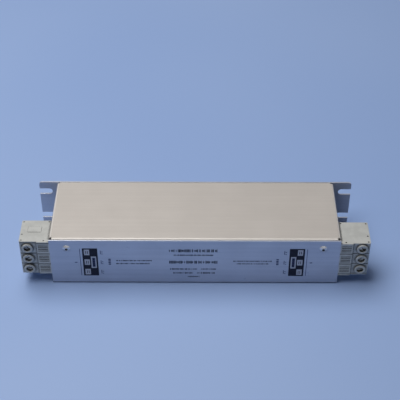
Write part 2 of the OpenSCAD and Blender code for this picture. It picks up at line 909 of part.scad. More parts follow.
module winding(k) {
  rings = [for (n = [0 : len(winding_path) - 1]) wire_ring(n, winding_path)];
  last = len(rings) - 1;
  corners = [for (r = rings) for (p = r) p];
  walls = [
    for (n = [0 : last - 1], s = [0 : ring_sides - 1], half = [0, 1])
      let (a = n * ring_sides + s, b = n * ring_sides + (s + 1) % ring_sides)
      half == 0 ? [a, a + ring_sides, b] : [b, a + ring_sides, b + ring_sides]
  ];
  start = [[for (s = [0 : ring_sides - 1]) s]];
  end = [[for (s = [ring_sides - 1 : -1 : 0]) last * ring_sides + s]];
  color([0.72, 0.38, 0.18]) rotate(winding_angle(k)) {
    polyhedron(points = corners, faces = concat(start, walls, end));
  }
}

// ---------- capacitors and resistors ----------

module at_x_capacitors(side) {
  for (n = [0, 1, 2]) {
    translate([side * (first_cap_x + n * cap_step), 0, board_top]) children();
  }
}

module at_y_capacitor(side) {
  translate([side * y_cap_x, y_cap_y, board_top]) children();
}

module capacitor_leads(length, r) {
  for (s = [-1, 1]) {
    translate([0, s * (length / 2 - cap_lead_inset), -pin_l]) cylinder(h = pin_l + 1, r = r);
  }
}

// Boxed film capacitor on two low feet
module capacitor(w, l, h) {
  foot_h = 0.5;
  foot_w = 1.2;
  corner_r = 0.6;
  translate([0, 0, foot_h]) {
    linear_extrude(height = h - foot_h) round_rect(-w / 2, -l / 2, w / 2, l / 2, corner_r);
  }
  for (s = [-1, 1]) {
    translate([corner_r - w / 2, s * (l / 2 - 1.4) - foot_w / 2, 0]) {
      cube([w - 2 * corner_r, foot_w, foot_h + 0.1]);
    }
  }
  capacitor_leads(l, lead_d / 2);
}

module x_capacitors(side) {
  color([0.90, 0.72, 0.22]) at_x_capacitors(side) capacitor(x_cap_w, x_cap_l, x_cap_h);
}

module y_capacitor(side) {
  color([0.25, 0.42, 0.70]) at_y_capacitor(side) capacitor(y_cap_w, y_cap_l, y_cap_h);
}

module at_resistors() {
  for (n = [0, 1, 2]) {
    translate([-first_cap_x - cap_step, resistor_y + n * resistor_pitch, board_top]) children();
  }
}

module resistor_leads(r) {
  for (s = [-1, 1]) {
    translate([s * resistor_span / 2, 0, -pin_l]) cylinder(h = pin_l + pin_stub, r = r);
  }
}

// Axial resistor lying on the board, its wires bent down into their holes
module resistor() {
  axis_z = resistor_d / 2;
  lead_bend = 0.8;
  translate([0, 0, axis_z]) {
    x_cylinder(-resistor_l / 2, resistor_l / 2, resistor_d / 2);
    x_cylinder(-resistor_span / 2 + lead_bend, resistor_span / 2 - lead_bend, lead_d / 2);
  }
  for (s = [-1, 1]) {
    translate([s * (resistor_span / 2 - lead_bend), 0, axis_z - lead_bend]) {
      rotate([90, 0, 0]) mirror([s < 0 ? 1 : 0, 0, 0]) {
        rotate_extrude(angle = 90) translate([lead_bend, 0]) circle(lead_d / 2);
      }
    }
    translate([s * resistor_span / 2, 0, -pin_l]) {
      cylinder(h = pin_l + axis_z - lead_bend, r = lead_d / 2);
    }
  }
}

module discharge_resistors() {
  color([0.62, 0.70, 0.78]) at_resistors() resistor();
}

// ---------- nodes ----------

chassis();
cover();
cover_rivets();
at_pole(-1, 1) terminal_pole();  // terminal_left_1
at_pole(-1, 2) terminal_pole();  // terminal_left_2
at_pole(-1, 3) terminal_pole();  // terminal_left_3
at_pole(1, 1) terminal_pole();  // terminal_right_1
at_pole(1, 2) terminal_pole();  // terminal_right_2
at_pole(1, 3) terminal_pole();  // terminal_right_3
end_plate(-1);  // end_plate_left
end_plate(1);  // end_plate_right
clamp_screw(-1, 1);  // clamp_screw_left_1
clamp_screw(-1, 2);  // clamp_screw_left_2
clamp_screw(-1, 3);  // clamp_screw_left_3
clamp_screw(1, 1);  // clamp_screw_right_1
clamp_screw(1, 2);  // clamp_screw_right_2
clamp_screw(1, 3);  // clamp_screw_right_3
clamp_cage(-1, 1);  // clamp_cage_left_1
clamp_cage(-1, 2);  // clamp_cage_left_2
clamp_cage(-1, 3);  // clamp_cage_left_3
clamp_cage(1, 1);  // clamp_cage_right_1
clamp_cage(1, 2);  // clamp_cage_right_2
clamp_cage(1, 3);  // clamp_cage_right_3
current_bar(-1, 1);  // current_bar_left_1
current_bar(-1, 2);  // current_bar_left_2
current_bar(-1, 3);  // current_bar_left_3
current_bar(1, 1);  // current_bar_right_1
current_bar(1, 2);  // current_bar_right_2
current_bar(1, 3);  // current_bar_right_3
earth_studs();
earth_washers();
earth_nuts();
insulating_liner();
board_standoffs();
circuit_board();
board_screws();
choke_base();
core_cup();
core_lid();
choke_core();
winding(0);  // winding_1
winding(1);  // winding_2
winding(2);  // winding_3
x_capacitors(-1);  // x_capacitors_left
x_capacitors(1);  // x_capacitors_right
y_capacitor(-1);  // y_capacitor_left
y_capacitor(1);  // y_capacitor_right
discharge_resistors();
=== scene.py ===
"""Looks of a three-phase mains line filter in a folded sheet-steel case.

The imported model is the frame. This script gives every part of it a procedural finish, cuts real
threads on the earth studs, prints the label panel with plain boxes and bars, and sets the floor,
the lamps and the camera. Lengths are in metres, and sizes written in millimetres go through MM.
"""

import json
import logging
import math
import random
from dataclasses import dataclass, field
from enum import Enum
from typing import Any, Sequence

import bpy
from mathutils import Matrix, Vector


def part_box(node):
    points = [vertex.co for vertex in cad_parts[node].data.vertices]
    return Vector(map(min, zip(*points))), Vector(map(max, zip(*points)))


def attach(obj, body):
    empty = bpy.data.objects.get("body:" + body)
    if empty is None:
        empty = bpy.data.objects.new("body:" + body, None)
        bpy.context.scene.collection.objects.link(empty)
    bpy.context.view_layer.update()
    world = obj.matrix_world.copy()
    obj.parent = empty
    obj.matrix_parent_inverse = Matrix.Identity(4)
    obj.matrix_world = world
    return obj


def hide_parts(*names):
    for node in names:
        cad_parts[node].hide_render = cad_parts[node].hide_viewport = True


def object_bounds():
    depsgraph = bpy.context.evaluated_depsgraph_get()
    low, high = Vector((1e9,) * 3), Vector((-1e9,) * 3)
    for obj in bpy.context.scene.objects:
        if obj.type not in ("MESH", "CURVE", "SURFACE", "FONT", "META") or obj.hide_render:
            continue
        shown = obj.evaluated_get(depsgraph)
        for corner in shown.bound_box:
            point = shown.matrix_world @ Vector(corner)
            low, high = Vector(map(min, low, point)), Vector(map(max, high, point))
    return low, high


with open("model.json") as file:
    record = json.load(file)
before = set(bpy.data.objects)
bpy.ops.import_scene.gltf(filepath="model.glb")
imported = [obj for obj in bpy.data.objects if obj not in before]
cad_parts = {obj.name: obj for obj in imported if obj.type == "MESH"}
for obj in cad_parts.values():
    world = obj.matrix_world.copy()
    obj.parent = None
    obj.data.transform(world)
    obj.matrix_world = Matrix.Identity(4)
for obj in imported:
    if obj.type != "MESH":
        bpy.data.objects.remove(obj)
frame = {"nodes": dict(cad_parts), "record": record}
CAD_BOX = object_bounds()

LOG = logging.getLogger("line_filter")
MM = 0.001
BODY = "case"
POLES = (1, 2, 3)
SHADER_SAMPLES = 4

Colour = tuple[float, float, float, float]
Node = bpy.types.Node
NodeTree = bpy.types.NodeTree
Socket = bpy.types.NodeSocket
Outputs = bpy.types.bpy_prop_collection
Material = bpy.types.Material
Piece = bpy.types.Object
BACKDROP: Colour = (0.29, 0.37, 0.56, 1.0)


class End(Enum):
    """The two ends of the filter, each with the side of X that it is on."""

    LEFT = -1
    RIGHT = 1

    @property
    def word(self) -> str:
        """Name of the end as the nodes spell it."""
        return self.name.lower()


def paint(red: int, green: int, blue: int) -> Colour:
    """Turns a colour as a paint chart gives it into the shader's linear one.

    Args:
        red: Red from 0 to 255.
        green: Green from 0 to 255.
        blue: Blue from 0 to 255.

    Returns:
        The linear colour with full opacity.
    """
    def straight(value: int) -> float:
        """One channel made linear."""
        share = value / 255
        return share / 12.92 if share <= 0.04045 else ((share + 0.055) / 1.055) ** 2.4

    return (straight(red), straight(green), straight(blue), 1.0)


# ---------- laying out shader nodes ----------


class NodeSheet:
    """Lays out the nodes of one material or one shared effect."""

    def __init__(self, tree: NodeTree) -> None:
        """Starts on an empty tree.

        Args:
            tree: The node tree to fill.
        """
        self.tree = tree

    def add(self, kind: str, inputs: dict[Any, Any] | None = None, **settings: Any) -> Node:
        """Adds one node.

        Args:
            kind: Node type without its ShaderNode prefix.
            inputs: Socket name or number, with a value or the socket that feeds it.
            **settings: Properties of the node itself.

        Returns:
            The new node.
        """
        node = self.tree.nodes.new("ShaderNode" + kind)
        for name, value in settings.items():
            setattr(node, name, value)
        for key, value in (inputs or {}).items():
            if isinstance(value, Socket):
                self.tree.links.new(value, node.inputs[key])
            else:
                node.inputs[key].default_value = value
        return node

    def maths(self, operation: str, *values: Any, clamp: bool = False) -> Socket:
        """Adds a Math node.

        Args:
            operation: Name of the operation.
            *values: Numbers or sockets, in order.
            clamp: Whether the result is kept from 0 to 1.

        Returns:
            The result socket.
        """
        node = self.add("Math", dict(enumerate(values)), operation=operation, use_clamp=clamp)
        return node.outputs[0]

    def weigh(self, first: Socket, share: float, second: Socket) -> Socket:
        """Adds two values by weight.

        Args:
            first: The first value.
            share: Weight of the first value. The second has the rest of 1.
            second: The second value.

        Returns:
            The weighted sum.
        """
        rest = self.maths("MULTIPLY", second, 1 - share)
        return self.maths("ADD", self.maths("MULTIPLY", first, share), rest)

    def stretch(self, place: Socket, scale: Sequence[float], turn: Sequence[float] = (0, 0, 0)) -> Socket:
        """Scales and turns a pattern on its piece.

        Args:
            place: Coordinates to start from.
            scale: Cells per metre along each axis.
            turn: Turn about each axis in degrees.

        Returns:
            The mapped coordinates.
        """
        turned = tuple(math.radians(angle) for angle in turn)
        return self.add("Mapping", {"Vector": place, "Rotation": turned, "Scale": scale}).outputs[0]

    def noise(self, place: Socket, size: Any, detail: float = 3.0, rough: float = 0.55) -> Socket:
        """Adds a noise pattern.

        Args:
            place: Coordinates to read.
            size: Cells per unit of the coordinates, as a number or a socket.
            detail: Octaves.
            rough: How strong the fine octaves are.

        Returns:
            The noise value from 0 to 1.
        """
        inputs = {"Vector": place, "Scale": size, "Detail": detail, "Roughness": rough}
        return self.add("TexNoise", inputs).outputs[0]

    def remap(self, value: Socket, low: Any, high: Any, to_low: float = 0.0, to_high: float = 1.0) -> Socket:
        """Maps a value from one span to another with soft ends.

        Args:
            value: What to map.
            low: Value that becomes to_low.
            high: Value that becomes to_high.
            to_low: Lowest result.
            to_high: Highest result.

        Returns:
            The mapped value.
        """
        inputs = {0: value, 1: low, 2: high, 3: to_low, 4: to_high}
        return self.add("MapRange", inputs, interpolation_type="SMOOTHSTEP").outputs[0]

    def blend(self, share: Any, first: Any, second: Any) -> Socket:
        """Mixes two colours.

        Args:
            share: 0 for the first colour, 1 for the second.
            first: Colour or socket.
            second: Colour or socket.

        Returns:
            The mixed colour.
        """
        return self.add("Mix", {0: share, 6: first, 7: second}, data_type="RGBA").outputs[2]

    def lay(self, colour: Any, over: Any, mask: Socket, strength: float) -> Socket:
        """Lays a second colour over the first where a mask says.

        Args:
            colour: Colour or socket underneath.
            over: Colour or socket on top.
            mask: Where the second colour lies, from 0 to 1.
            strength: How much of it shows there.

        Returns:
            The mixed colour.
        """
        return self.blend(self.maths("MULTIPLY", mask, strength), colour, over)

    def finish(self, **values: Socket) -> NodeTree:
        """Gives a shared effect its outputs.

        Args:
            **values: Name of each output with what feeds it.

        Returns:
            The finished group.
        """
        for label in values:
            self.tree.interface.new_socket(name=label, in_out="OUTPUT", socket_type="NodeSocketFloat")
        target = self.tree.nodes.new("NodeGroupOutput")
        for label, value in values.items():
            self.tree.links.new(value, target.inputs[label])
        return self.tree


class Effects:
    """Shader groups that several finishes share. Each is built once."""

    def __init__(self) -> None:
        """Builds every group."""
        self.rolled_sheet = self._rolled_sheet()
        self.handling = self._handling()
        self.edge_wear = self._edge_wear()
        self.moulded_grain = self._moulded_grain()
        self.crevice = self._crevice()
        self.hairlines = self._hairlines()

    @staticmethod
    def _start(name: str, **sizes: float) -> tuple[NodeSheet, Outputs]:
        """Starts a shader group that takes coordinates as Place, and sizes.

        Args:
            name: Name of the group.
            **sizes: Each further input with its default.

        Returns:
            The sheet to lay nodes on, and what the group is given.
        """
        tree = bpy.data.node_groups.new(name, "ShaderNodeTree")
        tree.interface.new_socket(name="Place", in_out="INPUT", socket_type="NodeSocketVector")
        for label, default in sizes.items():
            made = tree.interface.new_socket(name=label, in_out="INPUT", socket_type="NodeSocketFloat")
            made.default_value = default
        return NodeSheet(tree), tree.nodes.new("NodeGroupInput").outputs

    def _rolled_sheet(self) -> NodeTree:
        """Faint lengthwise streaks and a fine grain, as on rolled and plated sheet.

        Returns:
            The group, with Tone and Height.
        """
        sheet, given = self._start("rolled_sheet")
        streaks = sheet.noise(sheet.stretch(given["Place"], (9, 420, 420)), 1.0, rough=0.6)
        grain = sheet.noise(given["Place"], 2600.0, detail=2.0, rough=0.6)
        cloud = sheet.noise(given["Place"], 34.0, detail=4.0, rough=0.5)
        return sheet.finish(Tone=sheet.weigh(streaks, 0.45, cloud), Height=sheet.weigh(streaks, 0.4, grain))

    def _handling(self) -> NodeTree:
        """Soft patches left by hands and cloths.

        Returns:
            The group, with Mask.
        """
        sheet, given = self._start("handling_marks", Size=22.0)
        patch = sheet.noise(given["Place"], given["Size"], detail=5.0, rough=0.62)
        return sheet.finish(Mask=sheet.remap(patch, 0.44, 0.68))

    def _edge_wear(self) -> NodeTree:
        """Outer edges where the finish is rubbed or cut, broken up by noise.

        Returns:
            The group, with Mask.
        """
        sheet, given = self._start("edge_wear", Width=0.3 * MM)
        rounded = sheet.add("Bevel", {"Radius": given["Width"]}, samples=SHADER_SAMPLES).outputs[0]
        flat = sheet.add("NewGeometry").outputs["Normal"]
        lean = sheet.add("VectorMath", {0: rounded, 1: flat}, operation="DOT_PRODUCT").outputs["Value"]
        edge = sheet.remap(lean, 0.985, 0.86)
        broken = sheet.remap(sheet.noise(given["Place"], 900.0), 0.30, 0.62)
        return sheet.finish(Mask=sheet.maths("MULTIPLY", edge, broken))

    def _moulded_grain(self) -> NodeTree:
        """Spark-eroded grain of a moulding and its slow change of shade.

        Returns:
            The group, with Tone and Height.
        """
        sheet, given = self._start("moulded_grain")
        grain = sheet.noise(given["Place"], 3200.0, detail=2.0, rough=0.6)
        swirl = sheet.noise(given["Place"], 140.0, rough=0.5)
        return sheet.finish(Tone=swirl, Height=sheet.weigh(grain, 0.75, swirl))

    def _crevice(self) -> NodeTree:
        """Painted shade with some dust: darkening in corners and grooves, found by ambient occlusion and
        broken up in spots.

        Returns:
            The group, with Mask.
        """
        sheet, given = self._start("crevice_dust", Reach=1.6 * MM, Open=0.8, Shut=0.25)
        reach = {"Distance": given["Reach"]}
        # Ambient occlusion finds the sheltered corners and grooves that get painted shade.
        shelter = sheet.add("AmbientOcclusion", reach, samples=SHADER_SAMPLES).outputs["AO"]
        spots = sheet.remap(sheet.noise(given["Place"], 420.0, detail=4.0), 0.25, 0.75, 0.7, 1.0)
        deep = sheet.remap(shelter, given["Open"], given["Shut"])
        return sheet.finish(Mask=sheet.maths("MULTIPLY", deep, spots))

    def _hairlines(self) -> NodeTree:
        """A few fine scratches at two angles.

        Returns:
            The group, with Mask.
        """
        sheet, given = self._start("hairline_scratches")
        masks = []
        for turn, scale in ((17, (14, 500, 500)), (-63, (20, 620, 620))):
            lane = sheet.noise(sheet.stretch(given["Place"], scale, (turn, turn, turn)), 1.0, detail=1.0)
            line = sheet.maths("ABSOLUTE", sheet.maths("SUBTRACT", lane, 0.5))
            masks.append(sheet.remap(line, 0.006, 0.0))
        patch = sheet.remap(sheet.noise(given["Place"], 30.0, detail=2.0), 0.5, 0.66)
        return sheet.finish(Mask=sheet.maths("MULTIPLY", sheet.maths("MAXIMUM", *masks), patch))


# ---------- finishes ----------


@dataclass(frozen=True)
class Bench:
    """A material in the making: its nodes, its shader, its coordinates and the shared effects."""

    sheet: NodeSheet
    shader: Node
    place: Socket
    effects: Effects

    def use(self, group: NodeTree, **sizes: float) -> Outputs:
        """Places a shared effect in the material.

        Args:
            group: The effect.
            **sizes: The effect's own inputs.

        Returns:
            What the effect gives.
        """
        return self.sheet.add("Group", {"Place": self.place, **sizes}, node_tree=group).outputs

    def feed(self, name: str, value: Socket) -> None:
        """Links what changes over the surface to the shader.

        Args:
            name: Input of the shader.
            value: The socket that feeds it.
        """
        self.sheet.tree.links.new(value, self.shader.inputs[name])

    def fix(self, name: str, value: float) -> None:
        """Sets what is the same all over the surface.

        Args:
            name: Input of the shader.
            value: Its number.
        """
        self.shader.inputs[name].default_value = value

    def relief(self, height: Socket, depth: float, edge: float = 0.0) -> None:
        """Feeds a height to the shader's normal, over edges rounded by a small radius.

        Args:
            height: Height from 0 to 1.
            depth: Depth of the relief.
            edge: Radius of the rounded edges, or 0 for none.
        """
        inputs: dict[Any, Any] = {"Height": height, "Strength": 0.6, "Distance": depth}
        if edge:
            inputs["Normal"] = self.sheet.add("Bevel", {"Radius": edge}, samples=SHADER_SAMPLES).outputs[0]
        self.feed("Normal", self.sheet.add("Bump", inputs).outputs[0])


@dataclass(frozen=True)
class Finish:
    """What every finish has: a name, a colour and a roughness."""

    name: str
    colour: Colour
    roughness: float = 0.5

    def build(self, effects: Effects) -> Material:
        """Makes the material.

        Args:
            effects: The shared shader groups.

        Returns:
            The new material.
        """
        material = bpy.data.materials.new(self.name)
        material.use_nodes = True
        material.diffuse_color = self.colour
        material.node_tree.nodes.clear()
        sheet = NodeSheet(material.node_tree)
        shader = sheet.add("BsdfPrincipled", {"Base Color": self.colour, "Roughness": self.roughness})
        sheet.add("OutputMaterial", {"Surface": shader.outputs[0]})
        place = sheet.add("TexCoord").outputs["Object"]
        self.dress(Bench(sheet, shader, place, effects))
        return material

    def dress(self, bench: Bench) -> None:
        """Adds the finish's own detail to the shader.

        Args:
            bench: The material in the making.
        """


@dataclass(frozen=True, kw_only=True)
class SheetFinish(Finish):
    """Plated steel sheet: streaks, handling marks, scratches, bright cut edges, painted shade with some dust
    in its corners, and a painted highlight along its folds.
    """

    tone: Colour
    edge_colour: Colour
    metal: float
    edge_width: float = 0.45 * MM
    fold_shine: float = 0.8
    fold_power: float = 4.0
    dust: Colour = paint(62, 60, 60)

    def dress(self, bench: Bench) -> None:
        """Adds streaks, marks, painted shade with some dust in the corners, a painted highlight on the folds,
        and worn edges.

        Args:
            bench: The material in the making.
        """
        sheet, effects = bench.sheet, bench.effects
        rolled = bench.use(effects.rolled_sheet)
        marks = bench.use(effects.handling, Size=26.0)["Mask"]
        lines = bench.use(effects.hairlines)["Mask"]
        edges = bench.use(effects.edge_wear, Width=self.edge_width)["Mask"]
        dust = bench.use(effects.crevice, Reach=2.2 * MM)["Mask"]
        colour = sheet.blend(sheet.remap(rolled["Tone"], 0.32, 0.68), self.colour, self.tone)
        # Painted highlight: the rounded folds are lightened towards the pale edge colour, as if they caught
        # the light.
        colour = sheet.blend(self._folds(sheet), colour, self.edge_colour)
        # Painted shade with some dust: the crevice mask darkens corners and grooves.
        colour = sheet.lay(colour, self.dust, dust, strength=0.8)
        colour = sheet.lay(colour, self.edge_colour, edges, strength=0.8)
        rough = sheet.maths("ADD", self.roughness - 0.04, sheet.maths("MULTIPLY", marks, 0.09))
        rough = sheet.maths("SUBTRACT", rough, sheet.maths("MULTIPLY", lines, 0.12), clamp=True)
        bench.fix("Metallic", self.metal)
        bench.feed("Base Color", colour)
        bench.feed("Roughness", rough)
        bench.relief(rolled["Height"], depth=0.010 * MM, edge=self.edge_width)

    def _folds(self, sheet: NodeSheet) -> Socket:
        """Gives the strength of a painted highlight on the rounded folds, where the sheet turns from level to
        upright.

        Args:
            sheet: The material's sheet of nodes.

        Returns:
            Strength of the painted highlight: 1 in the middle of a fold, 0 on level and upright faces.
        """
        upward = sheet.add("SeparateXYZ", {0: sheet.add("TexCoord").outputs["Normal"]}).outputs["Z"]
        level = sheet.maths("POWER", sheet.maths("MAXIMUM", upward, 0.0), self.fold_power)
        fold = sheet.maths("MULTIPLY", level, sheet.maths("SUBTRACT", 1.0, level))
        return sheet.maths("MULTIPLY", fold, 4 * self.fold_shine, clamp=True)


@dataclass(frozen=True)
class PlasticFinish(Finish):
    """Moulded plastic: grain, a slow change of shade, paler rubbed edges, and corners darkened by painted
    shade with some dust.

    Without a rubbed colour it is new, with no wear and no painted corner shade or dust. Wires that stand out
    of it below tin_below are tinned metal, and 0 means that it has none.
    """

    rubbed: Colour | None = None
    dust: Colour = paint(26, 26, 32)
    tin_below: float = 0.0
    tin: Colour = paint(196, 198, 200)
    shade: float = 0.88
    edge_width: float = 0.18 * MM

    def dress(self, bench: Bench) -> None:
        """Adds grain, a slow change of shade, wear, painted shade with some dust in the corners, and tinned
        wires.

        Args:
            bench: The material in the making.
        """
        sheet, effects = bench.sheet, bench.effects
        grain = bench.use(effects.moulded_grain)
        marks = bench.use(effects.handling, Size=60.0)["Mask"]
        darker = tuple(self.shade * part for part in self.colour[:3]) + (1.0,)
        colour = sheet.blend(sheet.remap(grain["Tone"], 0.35, 0.65), darker, self.colour)
        edge = self.edge_width if self.rubbed else 0.0
        if self.rubbed:
            edges = bench.use(effects.edge_wear, Width=edge)["Mask"]
            # Painted shade with some dust: the crevice mask darkens seams and corners nearly to black.
            corners = bench.use(effects.crevice, Reach=2.0 * MM, Open=0.96, Shut=0.70)["Mask"]
            colour = sheet.lay(colour, self.dust, corners, strength=0.9)
            colour = sheet.lay(colour, self.rubbed, edges, strength=0.5)
        rough = sheet.maths("ADD", self.roughness, sheet.maths("MULTIPLY", marks, -0.08))
        if self.tin_below:
            level = sheet.add("SeparateXYZ", {0: bench.place}).outputs["Z"]
            wire = sheet.maths("LESS_THAN", level, self.tin_below)
            colour = sheet.blend(wire, colour, self.tin)
            rough = sheet.maths("SUBTRACT", rough, sheet.maths("MULTIPLY", wire, 0.12))
            bench.feed("Metallic", wire)
        bench.feed("Base Color", colour)
        bench.feed("Roughness", rough)
        bench.relief(grain["Height"], depth=0.02 * MM, edge=edge)


@dataclass(frozen=True, kw_only=True)
class MetalFinish(Finish):
    """A small metal part: tumbled surface, tarnish in patches, grime with painted shade in its corners, and
    bright edges.

    Without a bright colour it is new, with no grime, no painted corner shade and no rubbed edges.
    """

    tarnish: Colour
    bright: Colour | None = None
    coat: float = 0.0
    edge_width: float = 0.12 * MM
    grime: Colour = paint(24, 24, 28)
    grime_strength: float = 0.35
    grime_reach: float = 1.4 * MM

    def dress(self, bench: Bench) -> None:
        """Adds tumbling marks, tarnish, grime with painted shade in the corners, and bright edges.

        Args:
            bench: The material in the making.
        """
        sheet, effects = bench.sheet, bench.effects
        tumbled = sheet.noise(bench.place, 1500.0, detail=4.0, rough=0.65)
        patches = bench.use(effects.handling, Size=160.0)["Mask"]
        colour = sheet.lay(self.colour, self.tarnish, patches, strength=0.7)
        edge = self.edge_width if self.bright else 0.0
        if self.bright:
            edges = bench.use(effects.edge_wear, Width=edge)["Mask"]
            # Painted shade with some grime: the crevice mask darkens corners and recesses.
            corners = bench.use(effects.crevice, Reach=self.grime_reach)["Mask"]
            colour = sheet.lay(colour, self.grime, corners, strength=self.grime_strength)
            colour = sheet.blend(edges, colour, self.bright)
        rough = sheet.remap(tumbled, 0.3, 0.7, self.roughness - 0.08, self.roughness + 0.1)
        bench.fix("Metallic", 1.0)
        bench.fix("Coat Weight", self.coat)
        bench.fix("Coat Roughness", 0.12)
        bench.feed("Base Color", colour)
        bench.feed("Roughness", rough)
        bench.relief(tumbled, depth=0.012 * MM, edge=edge)


@dataclass(frozen=True, kw_only=True)
class LaminateFinish(Finish):
    """Circuit board: solder mask over glass weave, with the bare laminate at its cut edges."""

    top: float
    bottom: float
    skin: float = 0.05 * MM
    weave_scale: float = 7000.0
    weave_colour: Colour = paint(46, 120, 70)
    cloud_colour: Colour = paint(24, 84, 44)
    cut_colour: Colour = paint(176, 172, 120)

    def dress(self, bench: Bench) -> None:
        """Adds the weave, the darker mask and the cut edge.

        Args:
            bench: The material in the making.
        """
        sheet = bench.sheet
        x, y, level = sheet.add("SeparateXYZ", {0: bench.place}).outputs
        warp = sheet.maths("SINE", sheet.maths("MULTIPLY", x, self.weave_scale))
        weft = sheet.maths("SINE", sheet.maths("MULTIPLY", y, self.weave_scale))
        weave = sheet.maths("MULTIPLY_ADD", sheet.maths("MULTIPLY", warp, weft), 0.5, 0.5)
        above = sheet.maths("GREATER_THAN", level, self.bottom + self.skin)
        below = sheet.maths("LESS_THAN", level, self.top - self.skin)
        inside = sheet.maths("MULTIPLY", above, below)
        cloud = sheet.remap(sheet.noise(bench.place, 90.0), 0.3, 0.7)
        mask = sheet.lay(self.colour, self.weave_colour, weave, strength=0.35)
        mask = sheet.blend(cloud, mask, self.cloud_colour)
        bench.feed("Base Color", sheet.blend(inside, mask, self.cut_colour))
        bench.feed("Roughness", sheet.maths("MULTIPLY_ADD", inside, 0.4, self.roughness))
        bench.relief(weave, depth=0.01 * MM)


@dataclass(frozen=True)
class FilmFinish(Finish):
    """Milky insulating film with faint calender lines."""

    line_colour: Colour = paint(196, 192, 172)

    def dress(self, bench: Bench) -> None:
        """Adds calender lines and handling marks.

        Args:
            bench: The material in the making.
        """
        sheet, effects = bench.sheet, bench.effects
        rolled = bench.use(effects.rolled_sheet)
        marks = bench.use(effects.handling, Size=40.0)["Mask"]
        bench.feed("Base Color", sheet.blend(rolled["Tone"], self.colour, self.line_colour))
        bench.feed("Roughness", sheet.maths("MULTIPLY_ADD", marks, 0.15, self.roughness))
        bench.relief(rolled["Height"], depth=0.008 * MM)


@dataclass(frozen=True, kw_only=True)
class ResistorFinish(Finish):
    """Lacquered resistor bodies with colour rings and tinned wires, along X.

    A ring has its place from the middle in millimetres.
    """

    middle: float
    rings: tuple[tuple[float, Colour], ...]
    wire_from: float = 5.52 * MM
    ring_core: float = 0.40 * MM
    ring_half: float = 0.55 * MM
    cloud_colour: Colour = paint(90, 120, 150)
    tin: Colour = paint(198, 198, 200)

    def dress(self, bench: Bench) -> None:
        """Adds rings across the bodies and metal beyond their ends.

        Args:
            bench: The material in the making.
        """
        sheet = bench.sheet
        along = sheet.maths("SUBTRACT", sheet.add("SeparateXYZ", {0: bench.place}).outputs["X"], self.middle)
        lacquer = sheet.noise(bench.place, 300.0)
        colour = sheet.lay(self.colour, self.cloud_colour, lacquer, strength=0.3)
        for spot, ring in self.rings:
            gap = sheet.maths("ABSOLUTE", sheet.maths("SUBTRACT", along, spot * MM))
            colour = sheet.blend(sheet.remap(gap, self.ring_half, self.ring_core), colour, ring)
        wire = sheet.maths("GREATER_THAN", sheet.maths("ABSOLUTE", along), self.wire_from)
        bench.feed("Base Color", sheet.blend(wire, colour, self.tin))
        bench.feed("Metallic", wire)
        bench.feed("Roughness", sheet.maths("MULTIPLY_ADD", lacquer, 0.15, self.roughness))
        bench.relief(lacquer, depth=0.02 * MM)


@dataclass(frozen=True, kw_only=True)
class InkFinish(Finish):
    """Screen-printed ink: slightly uneven and a little rough."""

    thin: Colour

    def dress(self, bench: Bench) -> None:
        """Adds the mesh of the screen and thin spots.

        Args:
            bench: The material in the making.
        """
        sheet = bench.sheet
        screen = sheet.noise(bench.place, 2400.0, detail=2.0)
        thin = sheet.remap(sheet.noise(bench.place, 260.0), 0.5, 0.75, 0.0, 0.5)
        bench.fix("Specular IOR Level", 0.25)
        bench.feed("Base Color", sheet.blend(thin, self.colour, self.thin))
        bench.feed("Roughness", sheet.maths("MULTIPLY_ADD", screen, 0.2, self.roughness - 0.1))
        bench.relief(screen, depth=0.006 * MM)


@dataclass(frozen=True, kw_only=True)
class FloorFinish(Finish):
    """Smooth pale table top, with a slow change of shade, that runs into the backdrop far away."""

    far: Colour
    fade_from: float = 0.5
    fade_to: float = 1.5

    def dress(self, bench: Bench) -> None:
        """Adds the slow change of shade and the fade into the backdrop, which only the camera sees.

        Args:
            bench: The material in the making.
        """
        sheet = bench.sheet
        slow = sheet.remap(sheet.noise(bench.place, 1.7, detail=2.0), 0.3, 0.7)
        grain = sheet.noise(bench.place, 900.0, detail=2.0)
        away = sheet.add("VectorMath", {0: bench.place}, operation="LENGTH").outputs["Value"]
        seen = sheet.add("LightPath").outputs["Is Camera Ray"]
        fade = sheet.maths("MULTIPLY", sheet.remap(away, self.fade_from, self.fade_to), seen)
        lit = bench.shader.outputs[0]
        surface = lit.links[0].to_socket
        glow = sheet.add("Emission", {"Color": BACKDROP})
        both = sheet.add("MixShader", {0: fade, 1: lit, 2: glow.outputs[0]})
        sheet.tree.links.new(both.outputs[0], surface)
        bench.fix("Specular IOR Level", 0.2)
        bench.feed("Base Color", sheet.blend(slow, self.colour, self.far))
        bench.relief(grain, depth=0.01 * MM)


